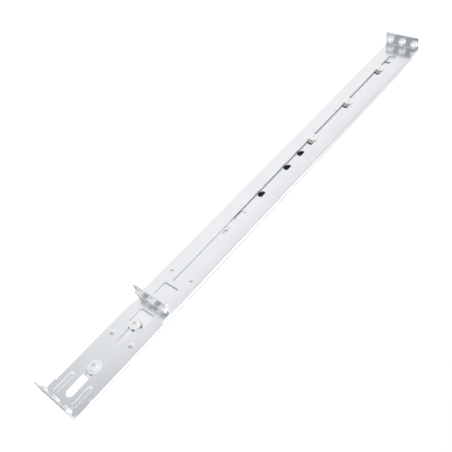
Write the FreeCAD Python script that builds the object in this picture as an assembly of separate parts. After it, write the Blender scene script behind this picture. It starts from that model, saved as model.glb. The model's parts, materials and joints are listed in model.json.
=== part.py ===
import FreeCAD
import Part
import math
import os

# Left-hand sliding rail for a 19 inch rack, in millimetres, as it hangs in the rack.
# +X points to the front of the rack, -Y is the outboard side, +Z is up.
# The origin is on the mounting face of the front ear, at its middle hole.

# --- bracket sheet, ears and layers -------------------------------------------------
sheet = 1.5                 # thickness of both brackets
bend_radius = 0.5           # inside radius of every bracket bend
hole_pitch = 15.875         # vertical pitch of the rack holes
ear_hole_reach = 6.35       # hole line to the outer face of the rear bracket's web
ear_reach = 15.3            # outer edge of an ear from that same face
ear_corner = 1.2            # rounding of the ear corners
running_gap = 0.1           # between flat faces that slide over each other
seat_gap = 0.05             # under a screw head, nut or washer that can be let go
cut_over = 1.0              # how far a cutting body runs past the face that it cuts
bite = 0.2                  # how far joined bodies run into each other
tiny = 0.001                # lengths under this count as nothing

front_height = 44.4         # front bracket, over its ear and over its flanges
front_flat_upper = 19.4     # unflanged stretch behind the front ear, along the upper edge
front_flat_lower = 15.0     # the same along the lower edge
front_body_length = 107.5   # ear face to the end of the flanges
tongue_end = 225.0          # ear face to the tip of the tongue
tongue_height = 39.2
flange_depth = 4.0          # inboard flanges, from the outer face of the web

rear_height = 43.6          # over both ears of the rear bracket
rear_body_height = 44.4     # over its flanges
mid_ear_setback = 118.0     # front ear face to the back of the middle ear
rear_ear_setback = 570.7    # front ear face to the mounting face of the rear ear
rear_flange_start = 125.2
rear_flange_end = 554.2
mid_ear_lip = 2.9           # depth of the folded lip on top of the middle ear
mid_ear_lip_inset = 1.0     # lip to the ear's rounded corner and to the fold
relief = 0.8                # notch at the end of each flange bend
relief_depth = 2.2
relief_over = 2.0           # how far a notch runs past the sheet's edge

# --- slots, windows and pressings ----------------------------------------------------
front_slot_near = 10.2
front_slot_far = 48.2
guide_slot_near = 70.2
guide_slot_far = 92.2
front_slot_width = 7.5
front_window_far = 108.2
front_window_height = 19.0
rear_window_near = 126.2
rear_window_far = 141.2
rear_window_height = 20.0
window_corner = 3.0
rear_slot_near = 145.2
rear_slot_far = 549.2
rear_slot_width = 8.4
rib_near = 5.6
rib_far = 28.6
rib_width = 5.6
rib_rise = 1.0
rib_offset = 12.2           # up and down from the centre line
dimple_diameter = 5.6
dimple_rise = 0.6
dimple_offset = 12.5
front_dimple_x = 75.2
rear_dimple_x = 156.2
lug_length = 8.3
lug_depth = 2.2
lug_rise = 1.3
front_lug_gap = 0.5         # lug to the rear end of the front bracket's flange
rear_lug_gap = 4.0          # lug to the front end of the rear bracket's flange
tongue_hole_near = 216.2
tongue_hole_length = 6.0
tongue_hole_height = 3.5

# --- ear nuts -------------------------------------------------------------------------
nut_diameter = 8.8
nut_height = 2.5
nut_bevel = 0.5
nut_shank_diameter = 6.4
thread_diameter = 5.0
nut_recess = 0.1            # the shank ends this far below the ear's mounting face
fit_gap = 0.02              # radial gap of parts pressed or screwed together

# --- ball-bearing slide ----------------------------------------------------------------
slide_depth = 12.7
slide_height = 36.0
member_sheet = 1.2          # outer and inner member
middle_sheet = 1.0
cage_sheet = 0.4
head_space = 0.8            # room for the clamp heads behind the outer member's web
cage_gap = 0.2
ball_radius = 1.5
race_gap = 0.05
race_angle = 30.0           # half of the arc that each race holds round its balls
race_step = 3.2             # depth between the outer and the inner row of balls
outer_row_depth = 5.75      # outer row of balls from the outer member's back
member_bend = 1.0           # centre-line radius of the members' corners
race_blend = 0.8            # radius that leads into the outer race
outer_lip = 2.0
slide_front = 32.2          # front end of the outer member behind the ear face
outer_length = 500.0
middle_front = 60.0
middle_length = 495.0
inner_front = 48.5
outer_cage_front = 160.0
outer_cage_length = 270.0
inner_cage_front = 185.0
inner_cage_length = 240.0
outer_ball_count = 10       # per row
inner_ball_count = 9
ball_hole_gap = 0.1
inner_cage_drop = 0.3       # inner cage flange below the centres of its balls
cage_margin = 2.0
cage_reach = 0.5            # cage flange past its balls
ball_sides = 8              # a ball is drawn with flat facets
ball_latitudes = (-45, 0, 45)
lip_share = 0.5             # straight end of a race's free edge, as a share of the sheet

# --- clamping and guiding fasteners ------------------------------------------------------
stud_first = 374.7          # first clamping stud behind the ear face
stud_pitch = 71.25
stud_count = 3
stud_head_diameter = 7.6
stud_head_height = 0.5
keyhole_diameter = 8.5
keyhole_step = 4.6          # wide end of a keyhole ahead of its stud
keyhole_neck = 5.2
plain_hole_offsets = (25.2, 50.2, 95.7)   # spare holes ahead of the first stud
spacer_diameter = 13.0
clamp_flange_diameter = 10.0
clamp_flange_height = 0.8
clamp_hex = 8.0
clamp_hex_height = 1.5
stud_recess_diameter = 2.5
stud_recess_depth = 1.2
front_screw_x = 42.2
guide_screw_x = 92.2
screw_diameter = 5.0
front_head_diameter = 8.6
guide_head_diameter = 11.0
screw_head_height = 2.6
screw_head_bevel = 0.8
ring_diameter = 14.0
ring_height = 1.0
ring_bevel = 0.5
recess_width = 1.2
recess_length = 4.6
recess_depth = 1.4
collar_height = 0.5
collar_wall = 0.9

# --- inner member, latch and bumper ---------------------------------------------------------
chassis_hole_diameter = 4.5
chassis_hole_first = 112.0  # behind the inner member's front end
chassis_hole_span = 325.0
chassis_keyhole_diameter = 9.0
chassis_keyhole_neck = 4.6
chassis_keyhole_step = 7.0
chassis_keyhole_xs = (130.0, 280.0, 460.0)
access_hole_diameter = 9.0
access_hole_shares = (0.12, 0.88)   # along the middle member
pivot_x = 130.0
latch_sheet = 1.2
latch_width = 5.0
latch_gap = 0.3             # latch to the web behind it
latch_front_reach = 45.0
latch_back_reach = 22.0
latch_hub_diameter = 9.0
latch_hook_height = 6.0
latch_tab_length = 5.0
pin_gap = 0.05              # radial gap of a part that turns or shifts on its pin
pivot_diameter = 4.0
pivot_head_diameter = 7.0
pivot_head_height = 0.8
tab_window_length = 9.0
tab_window_low = 8.0
tab_window_high = 3.6
spring_sheet = 0.4
spring_width = 1.0
spring_bend = 1.2
spring_foot = 9.0
spring_slope = 28.0
spring_start = 5.0          # foot of the spring ahead of the rivet
spring_tip = 1.5
spring_gap = 0.05           # tip to the latch
spring_foot_gap = 0.1       # foot to the lower flange
bumper_length = 5.5
bumper_height = 18.0
bumper_depth = 7.0
bumper_round = 1.5
bumper_nub_diameter = 4.0
bumper_gap = 0.3

# --- places worked out from the sizes above ---------------------------------------------------
rear_web_y = ear_hole_reach
tongue_y = rear_web_y + sheet + running_gap
slide_y = tongue_y + sheet + running_gap
ear_edge_y = rear_web_y - ear_reach
outer_cage_y = slide_y + member_sheet + head_space
middle_y = outer_cage_y + cage_sheet + cage_gap
inner_cage_y = middle_y + middle_sheet + cage_gap
slide_face_y = slide_y + slide_depth
inner_web_y = slide_face_y - member_sheet
race_sine = math.sin(math.radians(race_angle))
race_cosine = math.cos(math.radians(race_angle))
outer_row_y = slide_y + outer_row_depth
inner_row_y = outer_row_y + race_step
outer_row_z = slide_height / 2 - member_sheet - race_gap - ball_radius
middle_race = ball_radius + race_gap + middle_sheet / 2
race_link = (race_step - 2 * middle_race * race_sine) / race_cosine
inner_row_z = outer_row_z - 2 * middle_race * race_cosine + race_link * race_sine
member_race = ball_radius + race_gap + member_sheet / 2
stud_xs = [-stud_first - stud_pitch * index for index in range(stud_count)]
inner_length = middle_front + middle_length - bumper_length - bumper_gap - inner_front


def vector(x, y, z):
    return FreeCAD.Vector(x, y, z)


def box(x0, x1, y0, y1, z0, z1):
    corner = vector(min(x0, x1), min(y0, y1), min(z0, z1))
    return Part.makeBox(abs(x1 - x0), abs(y1 - y0), abs(z1 - z0), corner)


def rod_y(x, z, diameter, y0, y1):
    # A round bar along Y.
    return Part.makeCylinder(diameter / 2, y1 - y0, vector(x, y0, z), vector(0, 1, 0))


def rod_x(y, z, diameter, x0, x1):
    # A round bar along X.
    return Part.makeCylinder(diameter / 2, x1 - x0, vector(x0, y, z), vector(1, 0, 0))


def fuse(solids):
    joined = solids[0].multiFuse(solids[1:]) if len(solids) > 1 else solids[0]
    return joined.removeSplitter()


def slot_y(x0, x1, height, y0, y1, z=0.0):
    # A slot with round ends that runs from x0 to x1, cut along Y.
    low, high = min(x0, x1), max(x0, x1)
    radius = height / 2
    block = box(low + radius, high - radius, y0, y1, z - radius, z + radius)
    ends = [rod_y(x, z, height, y0, y1) for x in (low + radius, high - radius)]
    return fuse([block] + ends)


def window_y(x0, x1, height, corner, y0, y1):
    # A rectangular window with rounded corners, cut along Y.
    block = box(x0, x1, y0, y1, -height / 2, height / 2)
    upright = [edge for edge in block.Edges if abs(edge.tangentAt(edge.FirstParameter).y) > 0.9]
    return block.makeFillet(corner, upright)


def strip_wire(start, heading, steps, thickness, place):
    # The outline of a bent strip. Each step is a length, or a pair of centre-line radius and
    # turn in degrees, where a turn to the left is positive. place puts a flat point in space.
    at = (start[0], start[1])
    angle = math.radians(heading)
    sides = ([], [])

    def beside(point, direction, offset):
        return (point[0] - math.sin(direction) * offset, point[1] + math.cos(direction) * offset)

    for step in steps:
        if isinstance(step, tuple):
            radius, turn = step[0], math.radians(step[1])
            sign = 1 if turn > 0 else -1
            centre = beside(at, angle, sign * radius)
            directions = (angle, angle + turn / 2, angle + turn)
            points = [beside(centre, d, -sign * radius) for d in directions]
        else:
            directions = (angle, angle)
            end = (at[0] + math.cos(angle) * step, at[1] + math.sin(angle) * step)
            points = [at, end]
        for side, offset in zip(sides, (thickness / 2, -thickness / 2)):
            side.append([place(*beside(p, d, offset)) for p, d in zip(points, directions)])
        at = points[-1]
        angle = directions[-1]
    edges = []
    for side in sides:
        for run in side:
            if len(run) == 3:
                edges.append(Part.Arc(*run).toShape())
            else:
                edges.append(Part.makeLine(*run))
    edges.append(Part.makeLine(sides[0][-1][-1], sides[1][-1][-1]))
    edges.append(Part.makeLine(sides[0][0][0], sides[1][0][0]))
    return Part.Wire(Part.__sortEdges__(edges))


def rolled_half(web_y, steps, thickness, x_back, length):
    # The upper half of a channel along X.
    wire = strip_wire((web_y, 0), 90, steps, thickness, lambda y, z: vector(x_back, y, z))
    return Part.Face(wire).extrude(vector(length, 0, 0))


def turned_over(half):
    return half.mirror(vector(0, 0, 0), vector(0, 0, 1))


def rolled_member(web_y, steps, thickness, x_back, length):
    # A channel along X that is the same above and below its centre line.
    half = rolled_half(web_y, steps, thickness, x_back, length)
    return fuse([half, turned_over(half)])


def flanged_web(web_y, height, x_back, x_upper, x_lower):
    # A web with a flange bent inboard along its upper and its lower edge, from x_back forward.
    radius = bend_radius + sheet / 2
    steps = [height / 2 - sheet / 2 - radius, (radius, -90), flange_depth - sheet / 2 - radius]
    middle_y = web_y + sheet / 2
    upper = rolled_half(middle_y, steps, sheet, x_back, x_upper - x_back)
    lower = rolled_half(middle_y, steps, sheet, x_back, x_lower - x_back)
    return fuse([upper, turned_over(lower)])


def eared_web(web_y, height, x_web, x_face, ear_back_is_face):
    # A flat web from x_web that turns outboard into an ear whose mounting face is at x_face.
    forward = x_face > x_web
    toward = 1 if forward else -1
    face = x_face if ear_back_is_face else x_face + toward * sheet
    radius = bend_radius + sheet / 2
    length = abs(face - x_web) - sheet / 2 - radius
    ear = web_y + sheet / 2 - ear_edge_y - radius
    steps = [length, (radius, -90 * toward), ear]
    start = (x_web, web_y + sheet / 2)
    heading = 0 if forward else 180
    wire = strip_wire(start, heading, steps, sheet, lambda x, y: vector(x, y, -height / 2))
    solid = Part.Face(wire).extrude(vector(0, 0, height))
    return round_ear(solid, height)


def round_ear(solid, height):
    # The two free corners of an ear are rounded.
    corners = []
    for edge in solid.Edges:
        middle = edge.CenterOfMass
        at_edge = abs(middle.y - ear_edge_y) < 0.01 and abs(abs(middle.z) - height / 2) < 0.01
        if at_edge and abs(edge.Length - sheet) < 0.01:
            corners.append(edge)
    return solid.makeFillet(ear_corner, corners)


def ear_holes(x_back):
    # Holes for the nuts through an ear whose rear face is at x_back.
    diameter = nut_shank_diameter + 2 * fit_gap
    x0, x1 = x_back - cut_over, x_back + sheet + cut_over
    return [rod_x(0, row * hole_pitch, diameter, x0, x1) for row in (-1, 0, 1)]


def crown(x0, x1, width, rise, face_y, run_on, z):
    # A domed swelling on the plane y = face_y, rounded at both ends. It runs on behind the plane.
    half = width / 2
    radius = (half ** 2 + rise ** 2) / (2 * rise)
    axis_y = face_y - rise + radius
    near, far = face_y - rise, face_y + run_on
    first, last = x0 + half, x1 - half
    ball = Part.makeSphere(radius, vector(first, axis_y, z))
    if last - first < tiny:
        return ball.common(box(x0 - radius, x1 + radius, near, far, z - radius, z + radius))
    parts = [ball.common(box(x0 - radius, first, near, far, z - radius, z + radius))]
    ball = Part.makeSphere(radius, vector(last, axis_y, z))
    parts.append(ball.common(box(last, x1 + radius, near, far, z - radius, z + radius)))
    barrel = rod_x(axis_y, z, 2 * radius, first, last)
    parts.append(barrel.common(box(first, last, near, far, z - radius, z + radius)))
    return fuse(parts)


def pressing(x0, x1, width, rise, web_y, z):
    # What a crown pressed outboard adds to the web, and what it takes from behind.
    skin = crown(x0, x1, width, rise, web_y, bite, z)
    hollow = crown(x0, x1, width, rise, web_y + sheet, cut_over, z)
    return skin, hollow


def pressed_rib(z):
    return pressing(-rib_far, -rib_near, rib_width, rib_rise, tongue_y, z)


def pressed_dimple(x, z, web_y):
    half = dimple_diameter / 2
    return pressing(x - half, x + half, dimple_diameter, dimple_rise, web_y, z)


def flange_lug(x_near, web_y, height):
    # A lug lanced up out of the upper flange, sloped at its front end.
    y0 = web_y + sheet
    base = height / 2 - sheet / 2
    top = height / 2 + lug_rise
    outline = [(-x_near, base), (-x_near - lug_rise, top), (-x_near - lug_length, top),
               (-x_near - lug_length, base)]
    points = [vector(x, y0, z) for x, z in outline]
    face = Part.Face(Part.makePolygon(points + points[:1]))
    return face.extrude(vector(0, lug_depth, 0))


def cut_reliefs(web_y, x_upper, x_lower, height, toward):
    # Notches where a flange bend ends beside the flat part of the web.
    notches = []
    for side, x in ((1, x_upper), (-1, x_lower)):
        edge = side * height / 2
        notches.append(box(x, x + toward * relief, web_y - cut_over,
                           web_y + flange_depth + cut_over, edge - side * relief_depth,
                           edge + side * relief_over))
    return notches


def make_front_bracket():
    web = tongue_y
    ear = eared_web(web, front_height, -front_flat_lower, 0, True)
    flat = box(-front_flat_upper, -front_flat_lower, web, web + sheet, 0, front_height / 2)
    body = flanged_web(web, front_height, -front_body_length, -front_flat_upper,
                       -front_flat_lower)
    tongue = box(-tongue_end, -front_body_length, web, web + sheet,
                 -tongue_height / 2, tongue_height / 2)
    lug = flange_lug(front_body_length - front_lug_gap - lug_length, web, front_height)
    added = [ear, flat, body, tongue, lug]
    removed = ear_holes(-sheet)
    removed += cut_reliefs(web, -front_flat_upper, -front_flat_lower, front_height, -1)
    y0, y1 = web - cut_over, web + sheet + cut_over
    removed.append(slot_y(-front_slot_far, -front_slot_near, front_slot_width, y0, y1))
    removed.append(slot_y(-guide_slot_far - front_slot_width, -guide_slot_near,
                          front_slot_width, y0, y1))
    removed.append(window_y(-front_window_far, -guide_slot_far, front_window_height,
                            window_corner, y0, y1))
    removed.append(box(-tongue_hole_near - tongue_hole_length, -tongue_hole_near, y0, y1,
                       -tongue_hole_height / 2, tongue_hole_height / 2))
    for side in (-1, 1):
        skin, hollow = pressed_rib(side * rib_offset)
        added.append(skin)
        removed.append(hollow)
        skin, hollow = pressed_dimple(-front_dimple_x, side * dimple_offset, web)
        added.append(skin)
        removed.append(hollow)
    return fuse(added).cut(Part.makeCompound(removed))


def make_rear_bracket():
    web = rear_web_y
    mid_ear = eared_web(web, rear_height, -rear_flange_start, -mid_ear_setback, False)
    rear_ear = eared_web(web, rear_height, -rear_flange_end, -rear_ear_setback, True)
    body = flanged_web(web, rear_body_height, -rear_flange_end, -rear_flange_start,
                       -rear_flange_start)
    lug = flange_lug(rear_flange_start + rear_lug_gap, web, rear_body_height)
    lip_front = -mid_ear_setback + sheet
    lip = box(lip_front - mid_ear_lip, lip_front - bend_radius,
              ear_edge_y + ear_corner + mid_ear_lip_inset, web - bend_radius - mid_ear_lip_inset,
              rear_height / 2 - sheet, rear_height / 2)
    added = [mid_ear, rear_ear, body, lug, lip]
    removed = ear_holes(-mid_ear_setback) + ear_holes(-rear_ear_setback)
    for x, toward in ((-rear_flange_end, 1), (-rear_flange_start, -1)):
        removed += cut_reliefs(web, x, x, rear_body_height, toward)
    y0, y1 = web - cut_over, web + sheet + cut_over
    removed.append(slot_y(-rear_slot_far, -rear_slot_near, rear_slot_width, y0, y1))
    removed.append(window_y(-rear_window_far, -rear_window_near, rear_window_height,
                            window_corner, y0, y1))
    for side in (-1, 1):
        skin, hollow = pressed_dimple(-rear_dimple_x, side * dimple_offset, web)
        added.append(skin)
        removed.append(hollow)
    return fuse(added).cut(Part.makeCompound(removed))


def ear_nuts(x_face, toward):
    # Three clinch nuts on one ear. x_face is the ear's mounting face, and the nuts stand on
    # the other side of the sheet, in the direction toward.
    def span(start, end, diameter, z):
        low, high = sorted((x_face + toward * start, x_face + toward * end))
        return rod_x(0, z, diameter, low, high)

    nuts = []
    for row in (-1, 0, 1):
        z = row * hole_pitch
        collar = span(sheet, sheet + nut_height, nut_diameter, z)
        top = x_face + toward * (sheet + nut_height)
        rim = [edge for edge in collar.Edges if abs(edge.CenterOfMass.x - top) < 0.01
               and edge.Closed and len(edge.Vertexes) == 1]
        collar = collar.makeChamfer(nut_bevel, rim)
        shank = span(nut_recess, sheet + bite, nut_shank_diameter, z)
        bore = span(-cut_over, sheet + nut_height + cut_over, thread_diameter, z)
        nuts.append(fuse([collar, shank]).cut(bore))
    return Part.makeCompound(nuts)


def make_outer_member():
    # Web against the brackets, races that hold the outer row of balls from outside.
    level = outer_row_z + member_race * race_cosine - race_blend * (1 - race_cosine)
    web_y = slide_y + member_sheet / 2
    race_start = outer_row_y - (member_race + race_blend) * race_sine
    steps = [level - member_bend, (member_bend, -90), race_start - web_y - member_bend,
             (race_blend, race_angle), (member_race, -2 * race_angle),
             (race_blend, race_angle), outer_lip]
    member = rolled_member(web_y, steps, member_sheet, -slide_front - outer_length, outer_length)
    y0, y1 = slide_y - cut_over, slide_y + member_sheet
    added = [member]
    removed = []
    for x in (-front_screw_x, -guide_screw_x):
        added.append(rod_y(x, 0, screw_diameter + 2 * collar_wall, y1 - bite, y1 + collar_height))
        removed.append(rod_y(x, 0, screw_diameter + 2 * fit_gap, y0, y1 + cut_over))
    for x in stud_xs:
        wide = x + keyhole_step
        removed.append(rod_y(wide, 0, keyhole_diameter, y0, y1 + cut_over))
        removed.append(slot_y(x - keyhole_neck / 2, wide + keyhole_neck / 2, keyhole_neck,
                              y0, y1 + cut_over))
    for offset in plain_hole_offsets:
        removed.append(rod_y(-stud_first + offset, 0, keyhole_diameter, y0, y1 + cut_over))
    return fuse(added).cut(Part.makeCompound(removed))


def make_middle_member():
    # An S-shaped flange: its outer side carries the outer balls, its inner side the inner ones.
    web_y = middle_y + middle_sheet / 2
    lead = (outer_row_y - middle_race * race_sine - web_y
            - member_bend * (1 + race_sine)) / race_cosine
    corner = (outer_row_z - middle_race * race_cosine + lead * race_sine
              - member_bend * race_cosine)
    steps = [corner, (member_bend, -90 - race_angle), lead, (middle_race, 2 * race_angle),
             race_link, (middle_race, -2 * race_angle), middle_sheet * lip_share]
    member = rolled_member(web_y, steps, middle_sheet, -middle_front - middle_length,
                           middle_length)
    nub_x = -middle_front - middle_length + bumper_length / 2
    y0, y1 = middle_y - cut_over, inner_cage_y
    holes = [rod_y(nub_x, 0, bumper_nub_diameter + 2 * fit_gap, y0, y1)]
    for share in access_hole_shares:
        x = -middle_front - middle_length * share
        holes.append(rod_y(x, 0, access_hole_diameter, y0, y1))
    return member.cut(Part.makeCompound(holes))


def make_inner_member():
    # Web inboard, where the chassis is fixed, and grooves that ride on the inner balls.
    web_y = inner_web_y + member_sheet / 2
    lead = (web_y - member_bend * (1 + race_sine) - inner_row_y
            - member_race * race_sine) / race_cosine
    corner = (inner_row_z - member_race * race_cosine + lead * race_sine
              - member_bend * race_cosine)
    steps = [corner, (member_bend, 90 + race_angle), lead, (member_race, -2 * race_angle),
             member_sheet * lip_share]
    member = rolled_member(web_y, steps, member_sheet, -inner_front - inner_length, inner_length)
    y0, y1 = inner_web_y - cut_over, slide_face_y + cut_over
    holes = []
    for offset in (0, chassis_hole_span):
        x = -inner_front - chassis_hole_first - offset
        holes.append(rod_y(x, 0, chassis_hole_diameter, y0, y1))
    for offset in chassis_keyhole_xs:
        x = -inner_front - offset
        holes.append(rod_y(x, 0, chassis_keyhole_diameter, y0, y1))
        holes.append(slot_y(x, x - chassis_keyhole_step, chassis_keyhole_neck, y0, y1))
    holes.append(rod_y(-pivot_x, 0, pivot_diameter + 2 * fit_gap, y0, y1))
    tab_x = -pivot_x + latch_front_reach - latch_tab_length / 2
    window = box(tab_x - tab_window_length / 2, tab_x + tab_window_length / 2, y0, y1,
                 -tab_window_low, tab_window_high)
    holes.append(window)
    return member.cut(Part.makeCompound(holes))


def ball_xs(front, length, count):
    first = -front - length + cage_margin + 2 * ball_radius
    last = -front - cage_margin - 2 * ball_radius
    return [first + (last - first) * index / (count - 1) for index in range(count)]


def make_cage(web_y, row_y, flange_z, ball_z, front, length, count):
    # A channel of thin strip with a square pocket for each ball in its flanges.
    centre_y = web_y + cage_sheet / 2
    radius = 2 * cage_sheet
    reach = row_y + ball_radius + cage_reach - centre_y - radius
    steps = [flange_z - radius, (radius, -90), reach]
    cage = rolled_member(centre_y, steps, cage_sheet, -front - length, length)
    half = ball_radius + ball_hole_gap
    top = ball_z + ball_radius
    pockets = [box(x - half, x + half, row_y - half, row_y + half, -top, top)
               for x in ball_xs(front, length, count)]
    return cage.cut(Part.makeCompound(pockets))


def faceted_ball(x, y, z):
    # A ball with flat facets whose corners and two poles lie on the true sphere.
    rings = [Part.Vertex(x, y, z - ball_radius)]
    for latitude in ball_latitudes:
        height = ball_radius * math.sin(math.radians(latitude))
        reach = ball_radius * math.cos(math.radians(latitude))
        turns = [2 * math.pi * side / ball_sides for side in range(ball_sides)]
        points = [vector(x + reach * math.cos(turn), y + reach * math.sin(turn), z + height)
                  for turn in turns]
        rings.append(Part.makePolygon(points + points[:1]))
    rings.append(Part.Vertex(x, y, z + ball_radius))
    return Part.makeLoft(rings, True, True)


def make_balls(row_y, row_z, front, length, count):
    balls = []
    for x in ball_xs(front, length, count):
        for side in (-1, 1):
            balls.append(faceted_ball(x, row_y, side * row_z))
    return Part.makeCompound(balls)


def pan_screw(x, head_top_y, head_diameter, end_y):
    # A pan head with a cross recess, standing outboard, and its shank.
    head_base = head_top_y + screw_head_height
    head = rod_y(x, 0, head_diameter, head_top_y, head_base)
    rim = [edge for edge in head.Edges if abs(edge.CenterOfMass.y - head_top_y) < 0.01
           and len(edge.Vertexes) == 1]
    head = head.makeChamfer(screw_head_bevel, rim)
    shank = rod_y(x, 0, screw_diameter, head_base, end_y)
    cross = []
    for length, height in ((recess_length, recess_width), (recess_width, recess_length)):
        cross.append(box(x - length / 2, x + length / 2, head_top_y - cut_over,
                         head_top_y + recess_depth, -height / 2, height / 2))
    return fuse([head, shank]).cut(fuse(cross))


def make_front_washer(outer_y):
    # The ring that bridges the front slot under the clamping screw.
    ring = rod_y(-front_screw_x, 0, ring_diameter, outer_y, outer_y + ring_height)
    rim = [edge for edge in ring.Edges if abs(edge.CenterOfMass.y - outer_y) < 0.01
           and len(edge.Vertexes) == 1]
    ring = ring.makeChamfer(ring_bevel, rim)
    bore = rod_y(-front_screw_x, 0, screw_diameter + 2 * pin_gap, outer_y - cut_over,
                 outer_y + ring_height + cut_over)
    return ring.cut(bore)


def make_studs():
    top_y = rear_web_y - seat_gap - clamp_flange_height - clamp_hex_height
    web_back = slide_y + member_sheet
    studs = []
    for x in stud_xs:
        head = rod_y(x, 0, stud_head_diameter, web_back, web_back + stud_head_height)
        shank = rod_y(x, 0, thread_diameter, top_y, web_back)
        recess = rod_y(x, 0, stud_recess_diameter, top_y - cut_over, top_y + stud_recess_depth)
        studs.append(fuse([head, shank]).cut(recess))
    return Part.makeCompound(studs)


def make_clamp_nuts():
    flange_back = rear_web_y - seat_gap
    flange_top = flange_back - clamp_flange_height
    circle = clamp_hex / math.sqrt(3)
    nuts = []
    for x in stud_xs:
        flange = rod_y(x, 0, clamp_flange_diameter, flange_top, flange_back)
        corners = [vector(x + circle * math.cos(math.radians(60 * k)), flange_top,
                          circle * math.sin(math.radians(60 * k))) for k in range(6)]
        prism = Part.Face(Part.makePolygon(corners + corners[:1]))
        prism = prism.extrude(vector(0, -clamp_hex_height, 0))
        cap = Part.makeCone(clamp_hex / 2, clamp_hex / 2 + clamp_hex_height, clamp_hex_height,
                            vector(x, flange_top - clamp_hex_height, 0), vector(0, 1, 0))
        bore = rod_y(x, 0, thread_diameter + 2 * fit_gap,
                     flange_top - clamp_hex_height - cut_over, flange_back + cut_over)
        nuts.append(fuse([flange, prism.common(cap)]).cut(bore))
    return Part.makeCompound(nuts)


def make_spacers():
    spacers = []
    for x in stud_xs:
        disc = rod_y(x, 0, spacer_diameter, rear_web_y + sheet + seat_gap, slide_y)
        bore = rod_y(x, 0, thread_diameter + 2 * pin_gap, rear_web_y, slide_y + cut_over)
        spacers.append(disc.cut(bore))
    return Part.makeCompound(spacers)


def make_latch():
    # A flat lever on a rivet: hook at the back, finger tab at the front.
    y0 = inner_web_y - latch_gap - latch_sheet
    y1 = inner_web_y - latch_gap
    half = latch_width / 2
    hub = rod_y(-pivot_x, 0, latch_hub_diameter, y0, y1)
    arm = box(-pivot_x - latch_back_reach, -pivot_x + latch_front_reach, y0, y1, -half, half)
    hook_x = -pivot_x - latch_back_reach
    outline = [(hook_x, 0), (hook_x, latch_hook_height), (hook_x + half, latch_hook_height),
               (hook_x + 2 * latch_width, 0)]
    points = [vector(x, y0, z) for x, z in outline]
    hook = Part.Face(Part.makePolygon(points + points[:1])).extrude(vector(0, latch_sheet, 0))
    front = -pivot_x + latch_front_reach
    tab = box(front - latch_tab_length, front, y1 - bite, slide_face_y - race_gap, -half, half)
    bore = rod_y(-pivot_x, 0, pivot_diameter + 2 * pin_gap, y0 - cut_over, y1 + cut_over)
    return fuse([hub, arm, hook, tab]).cut(bore)


def make_pivot():
    y0 = inner_web_y - latch_gap - latch_sheet - race_gap
    head = rod_y(-pivot_x, 0, pivot_head_diameter, y0 - pivot_head_height, y0)
    shank = rod_y(-pivot_x, 0, pivot_diameter, y0, slide_face_y)
    return fuse([head, shank])


def make_spring():
    # A leaf that stands on the lower flange and carries the front arm of the latch.
    flange_z = inner_row_z - member_race - member_sheet / 2
    foot_z = -(flange_z - spring_foot_gap - spring_sheet / 2)
    rise = -latch_width / 2 - spring_gap - spring_sheet / 2 - foot_z
    bend_rise = spring_bend * (1 - math.cos(math.radians(spring_slope)))
    slope = (rise - 2 * bend_rise) / math.sin(math.radians(spring_slope))
    steps = [spring_foot, (spring_bend, spring_slope), slope, (spring_bend, -spring_slope),
             spring_tip]
    y0 = inner_row_y - spring_width / 2
    start = (-pivot_x + spring_start, foot_z)
    wire = strip_wire(start, 0, steps, spring_sheet, lambda x, z: vector(x, y0, z))
    return Part.Face(wire).extrude(vector(0, spring_width, 0))


def make_bumper():
    # A rubber block at the rear of the middle member, held by a nub through its web.
    x0 = -middle_front - middle_length
    y0 = middle_y + middle_sheet
    block = box(x0, x0 + bumper_length, y0, y0 + bumper_depth, -bumper_height / 2,
                bumper_height / 2)
    edges = [edge for edge in block.Edges if abs(edge.tangentAt(edge.FirstParameter).x) > 0.9]
    block = block.makeFillet(bumper_round, edges)
    nub = rod_y(x0 + bumper_length / 2, 0, bumper_nub_diameter, middle_y, y0 + bite)
    return fuse([block, nub])


parts = {
    "front_bracket": make_front_bracket(),
    "front_ear_nuts": ear_nuts(0, -1),
    "rear_bracket": make_rear_bracket(),
    "mid_ear_nuts": ear_nuts(-mid_ear_setback, 1),
    "rear_ear_nuts": ear_nuts(-rear_ear_setback, 1),
    "slide_outer_member": make_outer_member(),
    "slide_middle_member": make_middle_member(),
    "slide_inner_member": make_inner_member(),
    "outer_ball_cage": make_cage(outer_cage_y, outer_row_y, outer_row_z, outer_row_z,
                                 outer_cage_front, outer_cage_length, outer_ball_count),
    "inner_ball_cage": make_cage(inner_cage_y, inner_row_y, inner_row_z - inner_cage_drop,
                                 inner_row_z, inner_cage_front, inner_cage_length,
                                 inner_ball_count),
    "outer_cage_balls": make_balls(outer_row_y, outer_row_z, outer_cage_front,
                                   outer_cage_length, outer_ball_count),
    "inner_cage_balls": make_balls(inner_row_y, inner_row_z, inner_cage_front,
                                   inner_cage_length, inner_ball_count),
    "front_clamp_screw": pan_screw(
        -front_screw_x, tongue_y - seat_gap - ring_height - screw_head_height,
        front_head_diameter, slide_y + member_sheet + collar_height),
    "front_clamp_washer": make_front_washer(tongue_y - seat_gap - ring_height),
    "front_guide_screw": pan_screw(
        -guide_screw_x, tongue_y - seat_gap - screw_head_height, guide_head_diameter,
        slide_y + member_sheet + collar_height),
    "clamp_studs": make_studs(),
    "clamp_nuts": make_clamp_nuts(),
    "spacer_washers": make_spacers(),
    "release_latch": make_latch(),
    "latch_rivet": make_pivot(),
    "latch_spring": make_spring(),
    "inner_stop_bumper": make_bumper(),
}

os.makedirs("parts", exist_ok=True)
for name, shape in parts.items():
    solids = shape.Solids
    ok = shape.isValid() and all(solid.Volume > 0 for solid in solids)
    print(name, "solids", len(solids), "volume", round(shape.Volume, 2), "valid", ok)
    shape.exportStep(os.path.join("parts", name + ".step"))
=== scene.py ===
import bpy
import json
import math
from mathutils import Matrix, Vector


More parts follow.
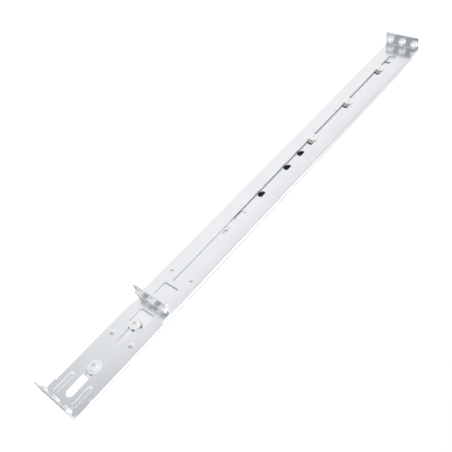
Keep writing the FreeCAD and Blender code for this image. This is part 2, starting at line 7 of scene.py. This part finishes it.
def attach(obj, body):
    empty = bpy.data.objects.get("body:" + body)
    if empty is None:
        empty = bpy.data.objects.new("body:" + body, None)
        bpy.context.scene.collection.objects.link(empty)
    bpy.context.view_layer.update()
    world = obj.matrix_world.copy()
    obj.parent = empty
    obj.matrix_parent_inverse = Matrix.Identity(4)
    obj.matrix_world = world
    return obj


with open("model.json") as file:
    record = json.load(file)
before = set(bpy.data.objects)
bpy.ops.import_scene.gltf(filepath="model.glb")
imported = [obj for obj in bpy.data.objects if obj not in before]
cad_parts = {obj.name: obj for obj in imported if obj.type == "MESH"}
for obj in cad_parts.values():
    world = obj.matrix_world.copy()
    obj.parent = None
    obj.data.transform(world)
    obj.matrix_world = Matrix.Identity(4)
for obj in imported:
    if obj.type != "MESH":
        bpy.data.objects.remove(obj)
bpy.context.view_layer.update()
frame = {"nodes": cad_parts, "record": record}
nodes = frame["nodes"]
print("frame loaded:", len(nodes), "nodes")

white = (1.0, 1.0, 1.0)
evenScale = (1, 1, 1)


def newMaterial(name):
    material = bpy.data.materials.new(name)
    material.use_nodes = True
    tree = material.node_tree
    shader = tree.nodes["Principled BSDF"]
    return material, tree, shader


def addNode(tree, kind, **values):
    node = tree.nodes.new(kind)
    for key, value in values.items():
        setattr(node, key, value)
    return node


def objectCoords(tree, scale):
    coords = addNode(tree, "ShaderNodeTexCoord")
    mapping = addNode(tree, "ShaderNodeMapping")
    mapping.inputs["Scale"].default_value = scale
    tree.links.new(coords.outputs["Object"], mapping.inputs["Vector"])
    return mapping.outputs["Vector"]


def noise(tree, vector, scale, detail, rough=0.5):
    node = addNode(tree, "ShaderNodeTexNoise")
    node.inputs["Scale"].default_value = scale
    node.inputs["Detail"].default_value = detail
    node.inputs["Roughness"].default_value = rough
    tree.links.new(vector, node.inputs["Vector"])
    return node.outputs["Fac"]


def mapRange(tree, value, span, outLow=0, outHigh=1):
    node = addNode(tree, "ShaderNodeMapRange")
    node.inputs["From Min"].default_value = span[0]
    node.inputs["From Max"].default_value = span[1]
    node.inputs["To Min"].default_value = outLow
    node.inputs["To Max"].default_value = outHigh
    tree.links.new(value, node.inputs["Value"])
    return node.outputs["Result"]


def combined(tree, operation, first, second):
    node = addNode(tree, "ShaderNodeMath", operation=operation)
    tree.links.new(first, node.inputs[0])
    tree.links.new(second, node.inputs[1])
    return node.outputs[0]


def blended(tree, factor, first, second, mode="MIX"):
    # Either side is a plain colour or another node's output.
    node = addNode(tree, "ShaderNodeMix", data_type="RGBA", blend_type=mode)
    tree.links.new(factor, node.inputs["Factor"])
    for name, side in (("A", first), ("B", second)):
        if isinstance(side, bpy.types.NodeSocket):
            tree.links.new(side, node.inputs[name])
        else:
            node.inputs[name].default_value = (*side, 1)
    return node.outputs["Result"]


def bump(tree, height, distance, normal=None):
    node = addNode(tree, "ShaderNodeBump")
    if normal:
        tree.links.new(normal, node.inputs["Normal"])
    node.inputs["Distance"].default_value = distance
    node.inputs["Strength"].default_value = 1.0
    tree.links.new(height, node.inputs["Height"])
    return node.outputs["Normal"]


# What every plated or rolled metal here starts from. A finish below says what differs.
plainMetal = {
    "grainAxis": "x",               # the rolling direction, or "none"
    "stretch": 40.0,                # how much longer than wide the grain is
    "grain": 900.0, "grainDetail": 2.0, "depth": 0.00001,
    "cloud": 60.0, "cloudDetail": 4.0, "cloudRough": 0.55,
    "toneSpan": (0.35, 0.65),       # stretch of the cloud noise that turns dark into light
    "glossSpan": (0.3, 0.7),        # the same for grain and cloud, from smooth to rough
    "shine": 1.0,
    "edge": 0.0004, "edgeSamples": 6,       # radius that softens the edges
    "upperShadeSpan": None, "upperShade": None,   # heights between which painted shade sets in, and its colour
    "rimTurn": (0.999, 0.96), "rim": None,  # how far an edge's normal has to lean to get a painted white highlight, and its colour
}


def metal(name, finish):
    # Cloudy tone, fine grain along one axis, uneven gloss, softened edges; where a finish asks,
    # painted shade towards the top and painted highlights on edges.
    look = {**plainMetal, **finish}
    material, tree, shader = newMaterial(name)
    links = tree.links
    grainScale = tuple(1 / look["stretch"] if axis == look["grainAxis"] else 1 for axis in "xyz")
    fine = noise(tree, objectCoords(tree, grainScale), look["grain"], look["grainDetail"])
    broad = noise(tree, objectCoords(tree, evenScale), look["cloud"], look["cloudDetail"],
                  look["cloudRough"])
    colour = blended(tree, mapRange(tree, broad, look["toneSpan"]), look["dark"], look["light"])
    # Painted shade: the colour darkens towards the top edge, where less light falls.
    if look["upperShade"]:
        parts = addNode(tree, "ShaderNodeSeparateXYZ")
        links.new(objectCoords(tree, evenScale), parts.inputs[0])
        height = mapRange(tree, parts.outputs["Z"], look["upperShadeSpan"])
        colour = blended(tree, height, colour, look["upperShade"], "MULTIPLY")
    rounded = addNode(tree, "ShaderNodeBevel", samples=look["edgeSamples"])
    rounded.inputs["Radius"].default_value = look["edge"]
    # Painted highlight: edges whose softened normal leans away from the face are painted white.
    if look["rim"]:
        flat = addNode(tree, "ShaderNodeNewGeometry")
        turned = addNode(tree, "ShaderNodeVectorMath", operation="DOT_PRODUCT")
        links.new(rounded.outputs["Normal"], turned.inputs[0])
        links.new(flat.outputs["Normal"], turned.inputs[1])
        rimHighlightMask = mapRange(tree, turned.outputs["Value"], look["rimTurn"])
        colour = blended(tree, rimHighlightMask, colour, look["rim"])
    links.new(colour, shader.inputs["Base Color"])
    smooth, rough = (end / 2 for end in look["rough"])      # grain and cloud give half each
    gloss = combined(tree, "ADD", mapRange(tree, fine, look["glossSpan"], smooth, rough),
                     mapRange(tree, broad, look["glossSpan"], smooth, rough))
    links.new(gloss, shader.inputs["Roughness"])
    links.new(bump(tree, fine, look["depth"], rounded.outputs["Normal"]),
              shader.inputs["Normal"])
    shader.inputs["Metallic"].default_value = look["shine"]
    return material


def plastic(name, look):
    material, tree, shader = newMaterial(name)
    speck = noise(tree, objectCoords(tree, evenScale), look["speck"], look["speckDetail"])
    tree.links.new(blended(tree, speck, look["colour"], look["paler"]),
                   shader.inputs["Base Color"])
    tree.links.new(mapRange(tree, speck, look["glossSpan"], *look["rough"]),
                   shader.inputs["Roughness"])
    tree.links.new(bump(tree, speck, look["depth"]), shader.inputs["Normal"])
    return material


sheetLook = {
    "light": (0.884, 0.895, 0.905), "dark": (0.854, 0.870, 0.885), "rough": (0.19, 0.23),
    "depth": 0.000012, "edge": 0.0010,
    # painted shade: a little darker from 4 to 18 mm up
    "upperShadeSpan": (0.004, 0.018), "upperShade": (0.925, 0.925, 0.935),
    # painted highlight: white on edges
    "rim": white,
}
fastenerLook = {
    "light": white, "dark": (0.93, 0.935, 0.945), "rough": (0.28, 0.38),
    "grainAxis": "none", "grain": 1500.0, "cloud": 300.0, "shine": 0.55, "edge": 0.0003,
}
slideLook = {
    "light": (0.95, 0.955, 0.965), "dark": (0.89, 0.90, 0.915), "rough": (0.16, 0.26),
    "stretch": 60.0, "grain": 1100.0,
}
ballLook = {
    "light": (0.80, 0.80, 0.81), "dark": (0.70, 0.70, 0.72), "rough": (0.05, 0.10),
    "grainAxis": "none", "depth": 0.000002,
}
springLook = {
    "light": (0.45, 0.45, 0.47), "dark": (0.33, 0.33, 0.36), "rough": (0.25, 0.38),
    "stretch": 20.0,
}
cageLook = {
    "colour": (0.012, 0.012, 0.013), "paler": (0.022, 0.022, 0.024), "rough": (0.45, 0.60),
    "speck": 700.0, "speckDetail": 4.0, "glossSpan": (0.3, 0.7), "depth": 0.00002,
}
bumperLook = {
    "colour": (0.014, 0.014, 0.014), "paler": (0.03, 0.03, 0.03), "rough": (0.65, 0.80),
    "speck": 700.0, "speckDetail": 4.0, "glossSpan": (0.3, 0.7), "depth": 0.00002,
}

finishOf = {
    "zinc_sheet": metal("zincSheet", sheetLook),
    "zinc_fastener": metal("zincFastener", fastenerLook),
    "slide_steel": metal("slideSteel", slideLook),
    "ball_steel": metal("ballSteel", ballLook),
    "spring_steel": metal("springSteel", springLook),
    "cage_plastic": plastic("cagePlastic", cageLook),
    "bumper_rubber": plastic("bumperRubber", bumperLook),
}
finishOf["latch_steel"] = finishOf["slide_steel"]
for entry in frame["record"]["subparts"]:
    mesh = nodes[entry["node"]].data
    mesh.materials.clear()
    mesh.materials.append(finishOf[entry["material_slot"]])
print("materials set:", len(finishOf))

# Three plates of bare sheet behind the long slot. "ends" are from the front ear's face to the
# rear, "faces" from the ear's middle hole towards the slide.
tongueLip = {"ends": (0.2251, 0.2373), "faces": (0.00797, 0.00860), "height": 0.024}
backingStep = {"ends": (0.2375, 0.2499), "faces": (0.00870, 0.00948), "height": 0.024}
backingStrip = {
    "ends": (0.2499, 0.5482), "faces": (0.00840, 0.00948), "height": 0.024,
    "studFirst": 0.3747, "studPitch": 0.07125, "studCount": 3,
    "washerRadius": 0.0066,         # clears the spacer washers
    "keyholeRadius": 0.00425, "keyholeStep": 0.0046,
    "plainHoles": (0.2790, 0.3245, 0.3495),
    "notch": (0.5330, 0.5366), "notchHeight": 0.0116,
    "cutDepth": 0.012,              # length of the cutters, well past both faces
    "holeSides": 48,
}


def plainHoleNames(values):
    return ["Plain hole %d" % number for number in range(1, len(values["plainHoles"]) + 1)]


def stripTree(name, punches=None):
    # A plate, and when punched its stud holes, keyhole ends, plain holes and notch.
    tree = bpy.data.node_groups.new(name, "GeometryNodeTree")
    sizes = {"Plate size": "Vector", "Plate middle": "Vector", "Finish": "Material"}
    plainNames = []
    if punches:
        sizes.update({"First stud": "Vector", "Stud pitch": "Vector", "Stud count": "Int",
                      "Washer radius": "Float", "Keyhole radius": "Float",
                      "Keyhole step": "Vector", "Notch size": "Vector",
                      "Notch middle": "Vector"})
        plainNames = plainHoleNames(punches)
        sizes.update({plain: "Vector" for plain in plainNames})
    for size, kind in sizes.items():
        tree.interface.new_socket(name=size, in_out="INPUT", socket_type="NodeSocket" + kind)
    tree.interface.new_socket(name="Geometry", in_out="OUTPUT",
                              socket_type="NodeSocketGeometry")
    given = addNode(tree, "NodeGroupInput").outputs

    def moved(geometry, place=None, turn=None):
        node = addNode(tree, "GeometryNodeTransform")
        tree.links.new(geometry, node.inputs["Geometry"])
        if place:
            tree.links.new(place, node.inputs["Translation"])
        if turn:
            node.inputs["Rotation"].default_value = turn
        return node.outputs["Geometry"]

    def block(size, place):
        node = addNode(tree, "GeometryNodeMeshCube")
        tree.links.new(size, node.inputs["Size"])
        return moved(node.outputs["Mesh"], place)

    def peg(radius):
        node = addNode(tree, "GeometryNodeMeshCylinder")
        node.inputs["Vertices"].default_value = punches["holeSides"]
        node.inputs["Depth"].default_value = punches["cutDepth"]
        tree.links.new(radius, node.inputs["Radius"])
        return moved(node.outputs["Mesh"], turn=(math.pi / 2, 0, 0))

    def realized(geometry):
        node = addNode(tree, "GeometryNodeRealizeInstances")
        tree.links.new(geometry, node.inputs["Geometry"])
        return node.outputs["Geometry"]

    def row(shape):
        line = addNode(tree, "GeometryNodeMeshLine")
        tree.links.new(given["Stud count"], line.inputs["Count"])
        tree.links.new(given["First stud"], line.inputs["Start Location"])
        tree.links.new(given["Stud pitch"], line.inputs["Offset"])
        copies = addNode(tree, "GeometryNodeInstanceOnPoints")
        tree.links.new(line.outputs["Mesh"], copies.inputs["Points"])
        tree.links.new(shape, copies.inputs["Instance"])
        return realized(copies.outputs["Instances"])

    shape = block(given["Plate size"], given["Plate middle"])
    if punches:
        wide = peg(given["Keyhole radius"])
        cutters = [row(peg(given["Washer radius"])), moved(row(wide), given["Keyhole step"]),
                   block(given["Notch size"], given["Notch middle"])]
        cutters += [moved(wide, given[plain]) for plain in plainNames]
        punch = addNode(tree, "GeometryNodeMeshBoolean", operation="DIFFERENCE", solver="EXACT")
        tree.links.new(shape, punch.inputs["Mesh 1"])
        for cutter in cutters:
            tree.links.new(cutter, punch.inputs["Mesh 2"])
        shape = punch.outputs["Mesh"]
    finish = addNode(tree, "GeometryNodeSetMaterial")
    tree.links.new(realized(shape), finish.inputs["Geometry"])
    tree.links.new(given["Finish"], finish.inputs["Material"])
    tree.links.new(finish.outputs["Geometry"], addNode(tree, "NodeGroupOutput").inputs[0])
    return tree


def makeStrip(name, tree, settings, body):
    piece = bpy.data.objects.new(name, bpy.data.meshes.new(name + "Start"))
    bpy.context.scene.collection.objects.link(piece)
    modifier = piece.modifiers.new("build", "NODES")
    modifier.node_group = tree
    for socket in tree.interface.items_tree:
        if socket.in_out == "INPUT":
            modifier[socket.identifier] = settings[socket.name]
    graph = bpy.context.evaluated_depsgraph_get()
    mesh = bpy.data.meshes.new_from_object(piece.evaluated_get(graph))
    piece.modifiers.remove(modifier)
    mesh.name = name
    mesh.materials.clear()          # drops the empty slot that the punching leaves
    mesh.materials.append(settings["Finish"])
    piece.data = mesh
    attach(piece, body)


def middleOf(span):
    return (span[0] + span[1]) / 2


def plateSettings(values):
    ends, faces = values["ends"], values["faces"]
    return {"Plate size": (ends[1] - ends[0], faces[1] - faces[0], values["height"]),
            "Plate middle": (-middleOf(ends), middleOf(faces), 0),
            "Finish": finishOf["zinc_sheet"]}


def punchSettings(values):
    notch = values["notch"]
    middle = middleOf(values["faces"])
    settings = {
        "First stud": (-values["studFirst"], middle, 0),
        "Stud pitch": (-values["studPitch"], 0, 0), "Stud count": values["studCount"],
        "Washer radius": values["washerRadius"], "Keyhole radius": values["keyholeRadius"],
        "Keyhole step": (values["keyholeStep"], 0, 0),
        "Notch size": (notch[1] - notch[0], values["cutDepth"], values["notchHeight"]),
        "Notch middle": (-middleOf(notch), middle, 0)}
    for name, x in zip(plainHoleNames(values), values["plainHoles"]):
        settings[name] = (-x, middle, 0)
    return settings


plainStrip = stripTree("plainStrip")
punchedStrip = stripTree("punchedStrip", backingStrip)
makeStrip("tongueLip", plainStrip, plateSettings(tongueLip), "front_bracket")
makeStrip("backingStep", plainStrip, plateSettings(backingStep), "slide_outer")
makeStrip("backingStrip", punchedStrip,
          {**plateSettings(backingStrip), **punchSettings(backingStrip)},
          "slide_outer")
print("strips behind the long slot ready")

cameraSetup = {
    "place": (0.02051, -0.40657, 0.31021),
    "look": (-0.42767, 0.72040, -0.54601),
    "up": (-0.64982, -0.66490, -0.36828),
    "lens": 46.11, "sensor": 36.0, "clipStart": 0.01,
}


def makeCamera(values):
    data = bpy.data.cameras.new("camera")
    data.lens = values["lens"]
    data.sensor_width = values["sensor"]
    data.clip_start = values["clipStart"]
    camera = bpy.data.objects.new("camera", data)
    back = -Vector(values["look"]).normalized()
    up = Vector(values["up"]).normalized()
    right = up.cross(back).normalized()
    up = back.cross(right)
    turn = Matrix((right, up, back)).transposed()
    camera.matrix_world = Matrix.Translation(values["place"]) @ turn.to_4x4()
    bpy.context.scene.collection.objects.link(camera)
    bpy.context.scene.camera = camera


makeCamera(cameraSetup)
print("camera ready")

floorSetup = {
    "drop": 0.45,                   # the floor lies this far under the rail's origin
    "size": 8.0,
    "glow": 0.62,                   # lifts the floor to white for the camera alone
    "colour": (0.82, 0.82, 0.82),
}


def makeFloor(values):
    half = values["size"] / 2
    drop = -values["drop"]
    mesh = bpy.data.meshes.new("floor")
    corners = [(-half, -half, drop), (half, -half, drop), (half, half, drop), (-half, half, drop)]
    mesh.from_pydata(corners, [], [(0, 1, 2, 3)])
    floor = bpy.data.objects.new("floor", mesh)
    bpy.context.scene.collection.objects.link(floor)
    material, tree, shader = newMaterial("floorPaint")
    tree.nodes.remove(shader)
    output = tree.nodes["Material Output"]
    path = addNode(tree, "ShaderNodeLightPath")
    paint = addNode(tree, "ShaderNodeBsdfDiffuse")
    paint.inputs["Color"].default_value = (*values["colour"], 1)
    glow = addNode(tree, "ShaderNodeEmission")
    tree.links.new(mapRange(tree, path.outputs["Is Camera Ray"], (0, 1), 0, values["glow"]),
                   glow.inputs["Strength"])
    both = addNode(tree, "ShaderNodeAddShader")
    tree.links.new(paint.outputs[0], both.inputs[0])
    tree.links.new(glow.outputs[0], both.inputs[1])
    tree.links.new(both.outputs[0], output.inputs["Surface"])
    mesh.materials.append(material)
    floor.visible_glossy = False


# The room that the metal mirrors. Places are directions from the rail, each from -1 to 1:
# X to the front of the rack, Y inboard, Z up. A pair says where a tone sets in and is full.
studioRoom = {
    "sideTones": [(-0.25, (0.99, 0.99, 1.0)), (-0.13, (0.91, 0.915, 0.93)),
                  (-0.05, (0.66, 0.675, 0.695)), (0.10, (0.48, 0.515, 0.54)),
                  (0.30, (0.31, 0.37, 0.40)), (0.55, (0.17, 0.22, 0.25))],    # along X
    "sideFade": (-0.30, -0.60),     # along Y: the side tones lie outboard of this
    "tiltAlong": (-0.30, -0.06), "tiltAcross": (-0.62, -0.56),      # along X and Z
    "tiltTone": (0.85, 0.85, 0.86),
    "frontEdge": (-0.15, -0.45),    # along Y: pale grey outboard of this
    "frontLow": (-0.30, -0.08), "frontHigh": (0.76, 0.60),          # and between these, along Z
    "frontTone": (0.78, 0.80, 0.82),
    "behindEdge": (0.20, 0.60),     # along Y: grey inboard of this
    "behindLow": (0.35, -0.30),     # along Z: and darker downwards
    "behindTone": (0.50, 0.54, 0.58),
    "boxes": [((0.60, -0.77, 0.22), (0.90, 0.96)),      # white lamps: middle, soft edge
              ((0.36, -0.83, -0.42), (0.985, 0.996))],
    "skyLevel": 1.0, "diffuseLevel": 0.9,
}


def makeWorld(values):
    # White all round for every ray, but tones for what metal mirrors.
    world = bpy.data.worlds.new("studio")
    world.use_nodes = True
    bpy.context.scene.world = world
    tree = world.node_tree
    background = tree.nodes["Background"]
    path = addNode(tree, "ShaderNodeLightPath")
    coords = addNode(tree, "ShaderNodeTexCoord")
    parts = addNode(tree, "ShaderNodeSeparateXYZ")
    tree.links.new(coords.outputs["Generated"], parts.inputs[0])

    def along(axis, name):
        return mapRange(tree, parts.outputs[axis], values[name])

    ramp = addNode(tree, "ShaderNodeValToRGB")
    stops = ramp.color_ramp.elements
    while len(stops) < len(values["sideTones"]):
        stops.new(0.5)
    for stop, (place, colour) in zip(stops, values["sideTones"]):
        stop.position = (place + 1) / 2
        stop.color = (*colour, 1)
    tree.links.new(mapRange(tree, parts.outputs["X"], (-1, 1)), ramp.inputs["Fac"])
    tilt = combined(tree, "MULTIPLY", along("X", "tiltAlong"), along("Z", "tiltAcross"))
    sideTone = blended(tree, tilt, ramp.outputs["Color"], values["tiltTone"], "MULTIPLY")
    seen = blended(tree, along("Y", "sideFade"), white, sideTone)
    upright = combined(tree, "MULTIPLY", along("Y", "frontEdge"), along("Z", "frontLow"))
    front = combined(tree, "MULTIPLY", upright, along("Z", "frontHigh"))
    seen = blended(tree, front, seen, values["frontTone"])
    behind = combined(tree, "MULTIPLY", along("Y", "behindEdge"), along("Z", "behindLow"))
    seen = blended(tree, behind, seen, values["behindTone"], "MULTIPLY")
    for direction, edge in values["boxes"]:
        facing = addNode(tree, "ShaderNodeVectorMath", operation="DOT_PRODUCT")
        tree.links.new(coords.outputs["Generated"], facing.inputs[0])
        facing.inputs[1].default_value = Vector(direction).normalized()
        seen = blended(tree, mapRange(tree, facing.outputs["Value"], edge), seen, white)
    mirrored = blended(tree, path.outputs["Is Glossy Ray"], white, seen)
    tree.links.new(mirrored, background.inputs["Color"])
    tree.links.new(mapRange(tree, path.outputs["Is Diffuse Ray"], (0, 1), values["skyLevel"],
                            values["diffuseLevel"]), background.inputs["Strength"])


topSoftbox = {"place": (-0.35, 0.25, 1.3), "target": (-0.3, 0.0, 0.0), "size": (1.6, 1.2),
              "watts": 14}


def makeLamp(name, values):
    data = bpy.data.lights.new(name, "AREA")
    data.shape = "RECTANGLE"
    data.size, data.size_y = values["size"]
    data.energy = values["watts"]
    lamp = bpy.data.objects.new(name, data)
    aim = Vector(values["target"]) - Vector(values["place"])
    turn = aim.to_track_quat("-Z", "Y").to_matrix()
    lamp.matrix_world = Matrix.Translation(values["place"]) @ turn.to_4x4()
    bpy.context.scene.collection.objects.link(lamp)


makeFloor(floorSetup)
makeWorld(studioRoom)
makeLamp("topSoftbox", topSoftbox)
bpy.context.scene.view_settings.view_transform = "Standard"
print("studio ready")
